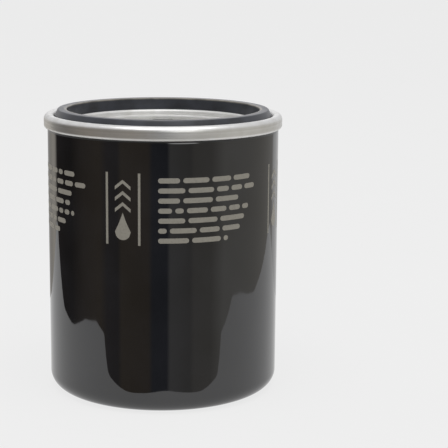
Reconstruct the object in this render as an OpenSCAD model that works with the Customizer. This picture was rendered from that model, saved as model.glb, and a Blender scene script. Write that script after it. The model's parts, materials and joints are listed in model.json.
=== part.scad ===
// Spin-on oil filter: a deep-drawn can closed by a double-seamed lid, with the pleated element,
// the drain-back diaphragm and the bypass valve inside it.
// Millimetres. The filter stands on its closed end: the origin is the centre of that end, and
// +Z runs along the axis to the thread end. Radii are measured from the axis.

/* [Can] */
// Outer diameter of the can's straight wall
can_d = 74; // [72:0.1:76]
// Thickness of the can's sheet
can_t = 0.45; // [0.4:0.01:0.5]
// Outer radius of the bend between the wall and the closed end
can_bend = 5; // [4:0.1:8]
// Height of the shallow panel pressed up into the closed end
can_panel_h = 0.8; // [0:0.1:1.5]

/* [Lid and seam] */
// Outer diameter of the rolled seam
seam_d = 76.3; // [76:0.1:77]
// Height of the seam's top edge above the closed end
seam_top = 89.16; // [88.5:0.01:90]
// Height of the seam's bottom edge above the closed end
seam_bottom = 84.67; // [84.5:0.01:84.9]
// Thickness of the lid's sheet
lid_t = 0.7; // [0.6:0.01:0.72]
// Height of the channel floor that the gasket lies on
channel_z = 84.9; // [84.8:0.01:85]
// Height of the rib inside the gasket, above the channel floor
rib_h = 1.9; // [1.5:0.1:2.5]
// Diameter of the lid's inner edge
lid_hole_d = 50; // [48:0.5:54]

/* [Gasket] */
// Outer diameter of the gasket
gasket_od = 69.2; // [68.8:0.1:69.2]
// Inner diameter of the gasket
gasket_id = 61.8; // [61.8:0.1:63]
// Height of the gasket
gasket_h = 5.67; // [5:0.01:6]
// Taper of the gasket's outside, over the part that stands above the seam
gasket_taper = 0.9; // [0:0.1:1.2]

/* [Base plate] */
// Thickness of the base plate
plate_t = 3.5; // [3:0.1:4]
// Diameter of the base plate
plate_d = 67.2; // [66:0.1:67.6]
// Nominal diameter of the thread, 3/4 inch
thread_d = 19.05; // [18:0.01:20]
// Outer diameter of the collar drawn down from the plate
collar_d = 24; // [23:0.1:25]
// Height of the collar's lower end above the closed end
collar_z = 74.5; // [74:0.1:76]
// Number of inlet holes
inlet_count = 4; // [4:4:8]
// Width of an inlet hole, across and along the radius
inlet_w = 7; // [6:0.1:7.2]
// Radius of the circle that the inlet holes are centred on
inlet_r = 20.6; // [20:0.1:21]

/* [Element] */
// Height of the lower end cap's underside above the closed end
element_z = 10.5; // [10:0.1:11]
// Height of the upper end cap's top above the closed end
element_top = 72.7; // [72:0.1:72.8]
// Outer diameter of the end caps
cap_d = 66; // [64:0.1:68]
// Thickness of the end caps' sheet
cap_t = 0.5; // [0.4:0.05:0.5]
// Number of pleats in the paper
pleats = 56; // [44:2:60]
// Thickness of the filter paper
paper_t = 0.55; // [0.4:0.05:0.6]
// Inner diameter of the centre tube
tube_id = 30; // [30:0.1:30.2]
// Thickness of the centre tube's sheet
tube_t = 0.5; // [0.4:0.05:0.5]
// Rows of holes along the centre tube
tube_rows = 8; // [5:1:9]
// Holes round each row of the centre tube, always even
tube_holes = 8; // [6:2:10]

/* [Bypass valve] */
// Diameter of the port that the poppet closes
port_d = 12; // [11:0.1:12.4]
// Lift of the poppet when it is fully open
bypass_lift = 3; // [2:0.1:3.5]
// Wire diameter of the bypass spring
wire_d = 1.2; // [1:0.05:1.3]
// Active turns of the bypass spring
turns = 4; // [3:0.5:4.5]

/* [Support spring] */
// Number of legs of the support spring
legs = 4; // [3:1:6]
// Width of a leg
leg_w = 9; // [6:0.5:10]

/* [Hidden] */

$fn = 96;
arc_step = 12;      // largest turn, in degrees, of one facet of a bend
seam_gap = 0.1;     // free space between the layers of the seam
fit_gap = 0.05;     // radial clearance of close fits

// Seam: five layers of sheet, from the seam's outside in to the lid's chuck wall
panel_r = seam_d / 2 - lid_t / 2;
body_hook_r = panel_r - lid_t / 2 - seam_gap - can_t / 2;
cover_hook_r = body_hook_r - can_t / 2 - seam_gap - lid_t / 2;
neck_r = cover_hook_r - lid_t / 2 - seam_gap - can_t / 2;
chuck_r = neck_r - can_t / 2 - seam_gap - lid_t / 2;
roll_r = (panel_r - chuck_r) / 2;
hook_r = (panel_r - cover_hook_r) / 2;
roll_z = seam_top - lid_t / 2 - roll_r;
curl_z = seam_bottom + lid_t / 2 + hook_r;
curl_r = panel_r - hook_r;
flange_r = (body_hook_r - neck_r) / 2;

// Can
can_r = can_d / 2 - can_t / 2;
panel_edge_r = 20;
foot_r = 22;
neck_bend = 1.1;
neck_inner = hook_r + lid_t / 2 + seam_gap + can_t / 2;
neck_dx = curl_r - can_r + neck_bend;
neck_dz = sqrt(pow(neck_inner + neck_bend, 2) - pow(neck_dx, 2));
neck_turn = atan2(neck_dz, neck_dx);
neck_z = curl_z - neck_dz;

// Lid
lid_z = channel_z - lid_t / 2;
rib_r = 29.9;
rib_half = 0.5;
lid_under = channel_z - lid_t;

// Base plate
plate_z = lid_under - plate_t;
collar_root = 1.2;
thread_lead = 1.6;

// Drain-back diaphragm
web_r = 24.6;       // where the flexing web meets the lip
lip_r = 28.2;

// Element
cap_r = cap_d / 2 - cap_t / 2;
skirt = 2.8;
potting_h = 2;
tube_od = tube_id + 2 * tube_t;
tube_spare = 0.2;   // free height over the centre tube, clear of the end cap's bend
floor_z = element_z + cap_t;
ceiling_z = element_top - cap_t;
media_id = tube_od + 1.6;
media_od = cap_d - 2.4;
pitch = 360 / pleats;
clip_t = 0.4;
clip_depth = 7;

// Bypass valve
seat_t = 0.6;
seat_lip_z = floor_z + 1.9;
cage_t = 0.8;
cage_r = 10.3;
cage_window_w = 7;
cage_window_h = 9;
seal_h = 1.4;
seal_z = seat_lip_z + fit_gap;
poppet_t = 0.8;
poppet_r = 8.9;
poppet_z = seal_z + seal_h;
stem_r = 1.5;
stem_fit = 0.08;    // running clearance of the stem in the cage's guide hole
head_r = 3;
head_h = 0.9;
rivet_r = 2.4;
rivet_h = 0.9;
coil_r = 5.2;
coil_z = poppet_z + poppet_t;
spring_spare = 4;   // free travel left in the spring when the poppet is fully open
cage_top = coil_z + (turns + 2) * wire_d + bypass_lift + spring_spare + cage_t;

// Support spring
spring_t = 0.8;
ring_in = 10.4;
ring_out = 16;

// ---- Bent sheet ----

// Points of an arc about c with radius r, from angle a by the turn t
function arc(c, r, a, t) =
    let (n = max(1, ceil(abs(t) / arc_step)))
    [for (i = [0:n]) [c[0] + r * cos(a + t * i / n), c[1] + r * sin(a + t * i / n)]];

function unit(v) = v / norm(v);

// Turn from angle a to angle b, the short way round
function short_turn(a, b) = let (d = (b - a) % 360) d > 180 ? d - 360 : d < -180 ? d + 360 : d;

// The corner p between a and b, rounded by the radius in p[2]
function bend(a, p, b) =
    p[2] == 0 ? [[p[0], p[1]]] :
    let (
        q = [p[0], p[1]],
        u = unit([a[0], a[1]] - q),
        v = unit([b[0], b[1]] - q),
        half = acos(u * v) / 2,
        c = q + unit(u + v) * p[2] / sin(half),
        s = q + u * p[2] / tan(half) - c,
        e = q + v * p[2] / tan(half) - c,
        from = atan2(s[1], s[0])
    )
    arc(c, p[2], from, short_turn(from, atan2(e[1], e[0])));

// An open line through corners [x, y, bend radius]
function bent_line(c) =
    let (n = len(c))
    [for (i = [0:n - 1]) each (i == 0 || i == n - 1) ? [[c[i][0], c[i][1]]]
        : bend(c[i - 1], c[i], c[i + 1])];

// A closed outline through corners [x, y, bend radius]
function bent_loop(c) =
    let (n = len(c)) [for (i = [0:n - 1]) each bend(c[(i + n - 1) % n], c[i], c[(i + 1) % n])];

function left_of(a, b) = let (u = unit(b - a)) [-u[1], u[0]];

// The line p moved sideways by s, mitred at its points
function beside(p, s) =
    let (n = len(p))
    [for (i = [0:n - 1])
        let (
            m = left_of(p[max(i - 1, 0)], p[max(i, 1)]),
            k = left_of(p[min(i, n - 2)], p[min(i + 1, n - 1)])
        )
        p[i] + s * (m + k) / (1 + m * k)];

function reversed(p) = [for (i = [len(p) - 1:-1:0]) p[i]];

// Outline of a sheet of thickness t whose middle follows the line p
function sheet(p, t) = concat(beside(p, t / 2), reversed(beside(p, -t / 2)));

// A sheet of thickness t, spun round the axis
module spun_sheet(p, t) {
    rotate_extrude() polygon(sheet(p, t));
}

// A solid ring with the closed outline through these corners
module spun_block(c) {
    rotate_extrude() polygon(bent_loop(c));
}

// A plain ring
module ring(r_in, r_out, z, h) {
    translate([0, 0, z]) difference() {
        cylinder(r = r_out, h = h);
        translate([0, 0, -1]) cylinder(r = r_in, h = h + 2);
    }
}

// ---- Case ----

// Deep-drawn can: pressed panel, foot, wall, neck under the seam and body hook inside it
module housing_can() {
    wall = concat(
        bent_line([
            [0, can_t / 2 + can_panel_h, 0], [panel_edge_r, can_t / 2 + can_panel_h, 1.5],
            [foot_r, can_t / 2, 1.5], [can_r, can_t / 2, can_bend - can_t / 2],
            [can_r, neck_z - 1, 0]
        ]),
        arc([can_r - neck_bend, neck_z], neck_bend, 0, neck_turn),
        arc([curl_r, curl_z], neck_inner, 180 + neck_turn, -neck_turn),
        arc([neck_r + flange_r, roll_z], flange_r, 180, -180),
        [[body_hook_r, curl_z + seam_gap]]
    );
    color("#17171a") spun_sheet(wall, can_t);
}

// Lid: flat inner rim, rib, gasket channel, chuck wall, seam roll and cover hook
module seaming_lid() {
    rib_top = channel_z + rib_h - lid_t / 2;
    profile = concat(
        bent_line([
            [lid_hole_d / 2, lid_z, 0], [rib_r - rib_half, lid_z, rib_half],
            [rib_r - rib_half, rib_top, rib_half * 0.99], [rib_r + rib_half, rib_top, rib_half * 0.99],
            [rib_r + rib_half, lid_z, rib_half], [chuck_r, lid_z, 0.6], [chuck_r, roll_z - 0.1, 0]
        ]),
        arc([chuck_r + roll_r, roll_z], roll_r, 180, -180),
        arc([curl_r, curl_z], hook_r, 0, -180),
        [[cover_hook_r, roll_z - seam_gap]]
    );
    color("#c9c9c6") spun_sheet(profile, lid_t);
}

// Lining compound, squeezed into the void over the cover hook
module seam_sealant() {
    bead = flange_r - can_t / 2 - 0.03;
    color("#8a8f86") rotate_extrude()
        polygon(concat(arc([cover_hook_r, roll_z], bead, 0, 180), [[cover_hook_r - bead, roll_z - 0.05],
            [cover_hook_r + bead, roll_z - 0.05]]));
}

// Base plate, with the collar that carries the thread drawn down from it
module base_plate() {
    color("#b9bbb8") difference() {
        spun_block([
            [thread_d / 2, collar_z, 0.4], [collar_d / 2, collar_z, 0.4],
            [collar_d / 2, plate_z, collar_root], [plate_d / 2, plate_z, 0.3],
            [plate_d / 2, lid_under, 0.3], [thread_d / 2, lid_under, thread_lead]
        ]);
        for (i = [0:inlet_count - 1]) rotate([0, 0, i * 360 / inlet_count])
            translate([inlet_r, 0, plate_z - 1]) rounded_prism(inlet_w, inlet_w, 1, plate_t + 2);
    }
}

// Block with rounded upright edges, centred on the axis
module rounded_prism(x, y, r, h) {
    linear_extrude(h) polygon(bent_loop([
        [-x / 2, -y / 2, r], [x / 2, -y / 2, r], [x / 2, y / 2, r], [-x / 2, y / 2, r]
    ]));
}

// Square-section gasket with eased edges
module sealing_gasket() {
    color("#2a2b2e") spun_block([
        [gasket_id / 2, channel_z, 0.35], [gasket_od / 2, channel_z, 0.35],
        [gasket_od / 2, seam_top - 0.4, 0.6], [gasket_od / 2 - gasket_taper, channel_z + gasket_h, 0.5],
        [gasket_id / 2, channel_z + gasket_h, 0.35]
    ]);
}

// ---- Drain-back diaphragm ----

// Foot and neck round the collar, and the conical web
module drainback_valve() {
    inner = collar_d / 2 + fit_gap;
    color("#1d1d1f") spun_block([
        [inner, element_top, 0.3], [inner + 5, element_top, 0.3], [inner + 5, element_top + 1.6, 0.5],
        [inner + 2, element_top + 1.6, 0.8], [inner + 2, element_top + 2.8, 1],
        [web_r, plate_z - 1.9, 0], [web_r, plate_z - 0.7, 0], [inner + 2, element_top + 4.6, 1],
        [inner + 1.6, plate_z - 1.6, 0.3], [inner, plate_z - 1.6, 0.3]
    ]);
}

// Lip that closes against the underside of the base plate, outside the inlet holes
module drainback_lip() {
    color("#1d1d1f") spun_block([
        [web_r, plate_z - 1.9, 0], [lip_r - 1, plate_z - 1.2, 0.4], [lip_r, plate_z - 0.6, 0.3],
        [lip_r, plate_z - fit_gap, 0.25], [web_r + 1.4, plate_z - fit_gap, 0.25], [web_r, plate_z - 0.7, 0]
    ]);
}

// ---- Element ----

// End cap with a skirt round the paper and a rim inside the centre tube
module upper_end_cap() {
    mid = element_top - cap_t / 2;
    rim = tube_id / 2 - fit_gap - cap_t / 2;
    color("#a9aaa6") spun_sheet(bent_line([
        [rim, ceiling_z - potting_h, 0], [rim, mid, 0.5], [cap_r, mid, 0.8], [cap_r, mid - skirt, 0]
    ]), cap_t);
}

// End cap with a skirt round the paper; the valve seat covers its centre hole
module lower_end_cap() {
    mid = element_z + cap_t / 2;
    color("#a9aaa6") spun_sheet(bent_line([
        [ring_in, mid, 0], [cap_r, mid, 0.8], [cap_r, mid + skirt, 0]
    ]), cap_t);
}

// Perforated tube that holds the paper against the oil's pressure
module centre_tube() {
    row = (ceiling_z - floor_z) / (tube_rows + 1);
    color("#9d9e9a") difference() {
        ring(tube_id / 2, tube_od / 2, floor_z, ceiling_z - tube_spare - floor_z);
        for (i = [1:tube_rows], j = [0:tube_holes / 2 - 1])
            translate([0, 0, floor_z + i * row])
                rotate([90, 0, (j + (i % 2) / 2) * 360 / tube_holes])
                    cylinder(r = 1.9, h = tube_od + 4, center = true);
    }
}

function polar(r, a) = [r * cos(a), r * sin(a)];

// A fold of the paper at radius r, centred on angle a; the flanks between folds are radial
function fold(r, a) = [polar(r, a - pitch / 4), polar(r, a + pitch / 4)];

// Pleated paper; the outer fold at angle 0 is cut open, and the clip joins the two ends
module pleated_media() {
    path = concat(
        [fold(media_od / 2, 0)[1]],
        [for (k = [0:pleats - 2]) each concat(
            fold(media_id / 2, (k + 0.5) * pitch), fold(media_od / 2, (k + 1) * pitch))],
        fold(media_id / 2, -pitch / 2),
        [fold(media_od / 2, 0)[0]]
    );
    color("#d8c48f") along_media() polygon(sheet(path, paper_t));
}

// Folded strip that joins the paper's two ends
module media_seam_clip() {
    side = media_od / 2 * sin(pitch / 4) + (paper_t + clip_t) / 2 + fit_gap;
    crest = media_od / 2 + clip_t;
    color("#a9aaa6") along_media() polygon(sheet(bent_line([
        [crest - clip_depth, -side, 0], [crest, -side, 0.6], [crest, side, 0.6],
        [crest - clip_depth, side, 0]
    ]), clip_t));
}

// Extrusion over the paper's height, between the two adhesive beds
module along_media() {
    translate([0, 0, floor_z + potting_h])
        linear_extrude(ceiling_z - floor_z - 2 * potting_h) children();
}

// Adhesive bed inside an end cap, eased where it meets the cap's bend
module potting(z) {
    outer = cap_d / 2 - cap_t - fit_gap;
    spun_block([
        [tube_od / 2 + fit_gap, z, 0], [outer, z, 0.7], [outer, z + potting_h, 0.7],
        [tube_od / 2 + fit_gap, z + potting_h, 0]
    ]);
}

module upper_potting() {
    color("#c8b27a") potting(ceiling_z - potting_h);
}

module lower_potting() {
    color("#c8b27a") potting(floor_z);
}

// ---- Bypass valve ----

// Seat plate: raised lip round the port, and a rim folded over the cage's flange
module bypass_seat() {
    mid = floor_z + seat_t / 2;
    fold = (cage_t + seat_t) / 2 + 0.03;
    color("#b9bbb8") spun_sheet(concat(
        bent_line([
            [port_d / 2 + seat_t / 2, seat_lip_z, 0], [port_d / 2 + seat_t / 2, mid, 0.6],
            [13.1, mid, 0]
        ]),
        arc([13.2, mid + fold], fold, -90, 180),
        [[12.2, mid + 2 * fold]]
    ), seat_t);
}

// Cage that holds the spring's upper end and guides the stem
module bypass_cage() {
    mid = floor_z + seat_t + cage_t / 2 + 0.03;
    color("#b9bbb8") difference() {
        spun_sheet(bent_line([
            [13.1, mid, 0], [cage_r, mid, 0.8], [cage_r, cage_top - cage_t / 2, 1.6],
            [stem_r + stem_fit, cage_top - cage_t / 2, 0]
        ]), cage_t);
        for (i = [0:3]) rotate([0, 0, 45 + 90 * i])
            translate([cage_r - 3, -cage_window_w / 2, floor_z + 5.5])
                cube([6, cage_window_w, cage_window_h]);
    }
}

// Dished poppet that the spring presses down
module bypass_poppet() {
    color("#b9bbb8") spun_sheet(bent_line([
        [stem_r + fit_gap, poppet_z + poppet_t / 2, 0], [poppet_r, poppet_z + poppet_t / 2, 0.6],
        [poppet_r, poppet_z - 1.1, 0]
    ]), poppet_t);
}

// Rubber washer between the poppet and the seat's lip
module bypass_seal() {
    color("#1d1d1f") ring(stem_r + fit_gap, poppet_r - poppet_t / 2 - 0.2, seal_z, seal_h);
}

// Headed pin riveted through the poppet
module bypass_stem() {
    color("#c9c9c6") rotate_extrude() polygon([
        [0, seal_z - head_h], [head_r - 0.4, seal_z - head_h], [head_r, seal_z - 0.4], [head_r, seal_z],
        [stem_r, seal_z], [stem_r, coil_z], [rivet_r, coil_z], [rivet_r, coil_z + rivet_h - 0.3],
        [rivet_r - 0.3, coil_z + rivet_h], [stem_r, coil_z + rivet_h], [stem_r, cage_top + 1],
        [stem_r - 0.4, cage_top + 1.4], [0, cage_top + 1.4]
    ]);
}

// Compression spring: closed end turns, swept as rings of wire sections
module bypass_spring() {
    sides = 8;
    steps = 18;
    end_turns = 0.9;
    total = turns + 2 * end_turns;
    rise = cage_top - cage_t - coil_z - 2 * fit_gap - 2 * wire_d;
    rings = round(total * steps);
    function climb(t) =
        t < end_turns ? t * wire_d / end_turns * 0.5
        : t > total - end_turns ? rise + wire_d - (total - t) * wire_d / end_turns * 0.5
        : wire_d * 0.5 + (t - end_turns) / turns * rise;
    points = [for (i = [0:rings], s = [0:sides - 1])
        let (t = i / steps, a = t * 360, b = s * 360 / sides, r = coil_r + wire_d / 2 * cos(b))
        [r * cos(a), r * sin(a), coil_z + fit_gap + wire_d / 2 + climb(t) + wire_d / 2 * sin(b)]];
    walls = [for (i = [0:rings - 1], s = [0:sides - 1])
        let (n = (s + 1) % sides)
        [i * sides + s, i * sides + n, (i + 1) * sides + n, (i + 1) * sides + s]];
    ends = [[for (s = [sides - 1:-1:0]) s], [for (s = [0:sides - 1]) rings * sides + s]];
    color("#8f9296") polyhedron(points, concat(walls, ends));
}

// ---- Support spring ----

// Leaf spring between the closed end and the lower end cap
module support_spring() {
    top = element_z - spring_t / 2;
    foot = can_t + spring_t / 2;
    color("#8f9296") union() {
        ring(ring_in, ring_out, element_z - spring_t, spring_t);
        for (i = [0:legs - 1]) rotate([0, 0, 45 + i * 360 / legs])
            translate([0, leg_w / 2, 0]) rotate([90, 0, 0]) linear_extrude(leg_w)
                polygon(sheet(bent_line([
                    [ring_in + 2, top, 0], [18.5, top, 3], [23.5, foot, 2.2], [27.2, foot, 1],
                    [28.4, foot + 0.9, 0]
                ]), spring_t));
    }
}

housing_can();
seaming_lid();
seam_sealant();
base_plate();
sealing_gasket();
drainback_valve();
drainback_lip();
upper_end_cap();
lower_end_cap();
centre_tube();
pleated_media();
media_seam_clip();
upper_potting();
lower_potting();
bypass_seat();
bypass_cage();
bypass_poppet();
bypass_seal();
bypass_stem();
bypass_spring();
support_spring();
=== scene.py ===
"""Looks of a spin-on oil filter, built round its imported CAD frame.

Lengths in this file are in millimetres and are turned to metres by MM where a mesh is made.
The filter stands on its closed end, with +Z along its axis. Radii are measured from the axis.
"""

import json
import logging
import math
import random
from dataclasses import dataclass
from enum import Enum
from typing import Any, Sequence

import bmesh
import bpy
from mathutils import Matrix, Vector

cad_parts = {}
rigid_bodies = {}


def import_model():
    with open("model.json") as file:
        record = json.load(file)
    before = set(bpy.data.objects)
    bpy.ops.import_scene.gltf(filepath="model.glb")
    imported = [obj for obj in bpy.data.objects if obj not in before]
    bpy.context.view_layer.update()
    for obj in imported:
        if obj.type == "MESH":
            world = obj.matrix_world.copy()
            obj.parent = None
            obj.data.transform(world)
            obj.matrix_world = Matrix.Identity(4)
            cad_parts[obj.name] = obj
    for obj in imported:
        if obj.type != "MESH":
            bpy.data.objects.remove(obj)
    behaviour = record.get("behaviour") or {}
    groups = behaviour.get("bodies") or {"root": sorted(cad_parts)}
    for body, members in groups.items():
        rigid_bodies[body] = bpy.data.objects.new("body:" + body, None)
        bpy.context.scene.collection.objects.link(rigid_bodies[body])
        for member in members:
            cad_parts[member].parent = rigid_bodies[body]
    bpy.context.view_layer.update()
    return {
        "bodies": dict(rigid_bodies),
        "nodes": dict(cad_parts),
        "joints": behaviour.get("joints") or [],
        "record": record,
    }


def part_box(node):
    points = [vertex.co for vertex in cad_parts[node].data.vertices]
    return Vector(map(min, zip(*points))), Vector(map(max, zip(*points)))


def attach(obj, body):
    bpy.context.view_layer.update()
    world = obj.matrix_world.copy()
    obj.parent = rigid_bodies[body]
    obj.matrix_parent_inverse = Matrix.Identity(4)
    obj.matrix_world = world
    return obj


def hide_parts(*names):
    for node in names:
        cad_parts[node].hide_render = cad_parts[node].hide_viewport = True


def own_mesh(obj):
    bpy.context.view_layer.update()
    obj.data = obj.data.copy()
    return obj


LOG = logging.getLogger("oil_filter")
MM = 0.001
Corner = tuple[float, float, float]
Point = tuple[float, float]


class Body(Enum):
    """The CAD bodies that pieces ride on."""

    HOUSING = "housing"
    VALVE = "bypass_valve"
    FLAP = "drainback_flap"


# ---------------------------------------------------------------------------
# Node trees
# ---------------------------------------------------------------------------


def add(tree: bpy.types.NodeTree, kind: str, links: dict | None = None, values: dict | None = None,
        **settings: Any) -> bpy.types.Node:
    """Adds one node to a tree.

    Args:
        tree: The tree that gets the node.
        kind: Blender's name for the node's type.
        links: Input socket, by name or index, to the output socket that feeds it.
        values: Input socket, by name or index, to its constant value.
        settings: Properties of the node itself.

    Returns:
        The new node.
    """
    node = tree.nodes.new(kind)
    for name, value in settings.items():
        setattr(node, name, value)
    for key, value in (values or {}).items():
        node.inputs[key].default_value = value
    for key, source in (links or {}).items():
        tree.links.new(source, node.inputs[key])
    return node


def linear(code: str) -> tuple[float, float, float, float]:
    """Turns an sRGB colour such as "#a0b0c0" into linear red, green, blue and alpha."""
    parts = (int(code[i:i + 2], 16) / 255 for i in (1, 3, 5))
    return (*(c / 12.92 if c <= 0.04045 else ((c + 0.055) / 1.055) ** 2.4 for c in parts), 1.0)


def per_mm(size: float) -> float:
    """Scale of a texture, in object coordinates, whose features are size millimetres across."""
    return 1 / (size * MM)


@dataclass(frozen=True)
class Finish:
    """A surface finish: a real material and the way its surface was made."""

    name: str

    def material(self) -> bpy.types.Material:
        """Builds the finish as a procedural material, or returns it where it exists already."""
        found = bpy.data.materials.get(self.name)
        if found:
            return found
        made = bpy.data.materials.new(self.name)
        made.use_nodes = True
        tree = made.node_tree
        shader = next(n for n in tree.nodes if n.type == "BSDF_PRINCIPLED")
        self.shade(tree, shader)
        return made

    def shade(self, tree: bpy.types.NodeTree, shader: bpy.types.Node) -> None:
        """Adds the finish's nodes to the tree and links them to its shader."""
        raise NotImplementedError


def object_vector(tree: bpy.types.NodeTree, stretch: Sequence[float] = (1, 1, 1)) -> Any:
    """Object coordinates, scaled along X, Y and Z, as an output socket."""
    place = add(tree, "ShaderNodeTexCoord").outputs["Object"]
    return add(tree, "ShaderNodeMapping", {"Vector": place}, {"Scale": stretch}).outputs["Vector"]


def ring_vector(tree: bpy.types.NodeTree) -> Any:
    """A vector of radius and height only, so that a pattern on it runs in rings round the axis."""
    place = add(tree, "ShaderNodeTexCoord").outputs["Object"]
    flat = add(tree, "ShaderNodeVectorMath", {0: place}, {1: (1, 1, 0)}, operation="MULTIPLY")
    radius = add(tree, "ShaderNodeVectorMath", {0: flat.outputs[0]}, operation="LENGTH")
    height = add(tree, "ShaderNodeSeparateXYZ", {0: place}).outputs["Z"]
    return add(tree, "ShaderNodeCombineXYZ", {"X": radius.outputs["Value"], "Y": height}).outputs[0]


def noise(tree: bpy.types.NodeTree, vector: Any, size: float, detail: float = 3.0) -> Any:
    """Noise with features size millimetres across, as an output socket from 0 to 1."""
    values = {"Scale": per_mm(size), "Detail": detail}
    return add(tree, "ShaderNodeTexNoise", {"Vector": vector}, values).outputs[0]


def spread(tree: bpy.types.NodeTree, source: Any, low: float, high: float,
           start: float = 0.3, end: float = 0.7) -> Any:
    """Maps a source's span from start to end onto the span from low to high, as an output socket."""
    values = {"From Min": start, "From Max": end, "To Min": low, "To Max": high}
    return add(tree, "ShaderNodeMapRange", {"Value": source}, values).outputs["Result"]


def blend(tree: bpy.types.NodeTree, factor: Any, low: Any, high: str) -> Any:
    """Mixes two sRGB colours by a factor, as an output socket; low may be a socket instead."""
    links, values = {0: factor}, {7: linear(high)}
    if isinstance(low, str):
        values[6] = linear(low)
    else:
        links[6] = low
    return add(tree, "ShaderNodeMix", links, values, data_type="RGBA").outputs[2]


def relief(tree: bpy.types.NodeTree, height: Any, depth: float, under: Any = None) -> Any:
    """Raises a surface by up to depth millimetres, over another relief, as a normal socket."""
    links = {"Height": height}
    if under is not None:
        links["Normal"] = under
    return add(tree, "ShaderNodeBump", links, {"Strength": 1.0, "Distance": depth * MM}).outputs[0]


@dataclass(frozen=True)
class StovedEnamel(Finish):
    """Black alkyd enamel, sprayed on deep-drawn steel and stoved.

    It gives a deep wet gloss over a faint orange peel, and the drawn sheet under it wavers slowly
    from top to bottom, so that mirrored edges run unevenly. A few dust nibs catch the light. The
    index is that of enamel under a hard clear skin, which mirrors more than plain enamel.
    """

    colour: str = "#0c0c0e"
    haze: str = "#17171a"
    nib: str = "#77766f"
    haze_mm: float = 16.0
    dust_mm: float = 24.0
    wave_mm: float = 13.0
    wave_depth: float = 0.05
    dent_mm: float = 5.0
    dent_depth: float = 0.006
    peel_mm: float = 1.1
    peel_depth: float = 0.0008
    draw_stretch: float = 0.16

    def shade(self, tree: bpy.types.NodeTree, shader: bpy.types.Node) -> None:
        """Adds the enamel's colour, gloss, orange peel, draw waves and dust nibs."""
        place = object_vector(tree)
        drawn = object_vector(tree, (1, 1, self.draw_stretch))
        cloud = noise(tree, place, self.haze_mm, 4.0)
        dots = add(tree, "ShaderNodeTexVoronoi", {"Vector": place}, {"Scale": per_mm(self.dust_mm)})
        speck = spread(tree, dots.outputs["Distance"], 0.7, 0.0, 0.006, 0.011)
        base = blend(tree, spread(tree, cloud, 0, 1), self.colour, self.haze)
        tree.links.new(blend(tree, speck, base, self.nib), shader.inputs["Base Color"])
        tree.links.new(spread(tree, cloud, 0.02, 0.05), shader.inputs["Roughness"])
        waves = relief(tree, noise(tree, drawn, self.wave_mm, 2.0), self.wave_depth)
        dents = relief(tree, noise(tree, place, self.dent_mm, 1.0), self.dent_depth, waves)
        peel = relief(tree, noise(tree, place, self.peel_mm, 1.0), self.peel_depth, dents)
        tree.links.new(peel, shader.inputs["Normal"])
        shader.inputs["IOR"].default_value = 1.75


@dataclass(frozen=True)
class RolledSteel(Finish):
    """Cold-rolled steel sheet with a thin metal coat, pressed and rolled to shape.

    It gives a pale satin metal: rings left by the tools run round the axis, and the coat has soft
    patches that differ in shine. Outside burnish_radius, forming rolls have burnished it. Inside it the
    metal is made less metallic, so that it shows whiter: a painted reflection of bright light.
    """

    colour: str = "#cfcecb"
    shadow: str = "#a9a8a4"
    smooth: float = 0.24
    rough: float = 0.38
    ring_mm: float = 0.22
    ring_depth: float = 0.002
    grain_mm: float = 0.35
    patch_mm: float = 4.0
    burnish_radius: float = 0.0
    burnish: float = 0.0
    metal: float = 1.0
    # Share of metal taken off inside burnish_radius, which whitens that zone as a painted reflection.
    bloom: float = 0.0

    def shade(self, tree: bpy.types.NodeTree, shader: bpy.types.Node) -> None:
        """Adds the metal's colour, its patches of shine and the rings of the tools."""
        place = object_vector(tree)
        patch = noise(tree, place, self.patch_mm, 5.0)
        rings = noise(tree, ring_vector(tree), self.ring_mm, 2.0)
        grain = noise(tree, place, self.grain_mm, 2.0)
        worn = add(tree, "ShaderNodeMath", {0: patch, 1: rings}, operation="MULTIPLY")
        shade = spread(tree, worn.outputs[0], 0, 1, 0.12, 0.36)
        tree.links.new(blend(tree, shade, self.shadow, self.colour), shader.inputs["Base Color"])
        dull = spread(tree, patch, self.rough, self.smooth)
        if self.burnish_radius:
            radius = add(tree, "ShaderNodeSeparateXYZ", {0: ring_vector(tree)}).outputs["X"]
            edge = self.burnish_radius * MM
            dull = calc(tree, "SUBTRACT", dull, spread(tree, radius, 0, self.burnish, edge, edge + MM))
            # Less metallic inside the radius, so that the zone shows whiter: a painted reflection of bright
            # light.
            metal = spread(tree, radius, self.metal - self.bloom, self.metal, edge, edge + MM)
            tree.links.new(metal, shader.inputs["Metallic"])
        tree.links.new(dull, shader.inputs["Roughness"])
        lines = relief(tree, rings, self.ring_depth)
        tree.links.new(relief(tree, grain, self.ring_depth / 3, lines), shader.inputs["Normal"])
        shader.inputs["Metallic"].default_value = self.metal


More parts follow.
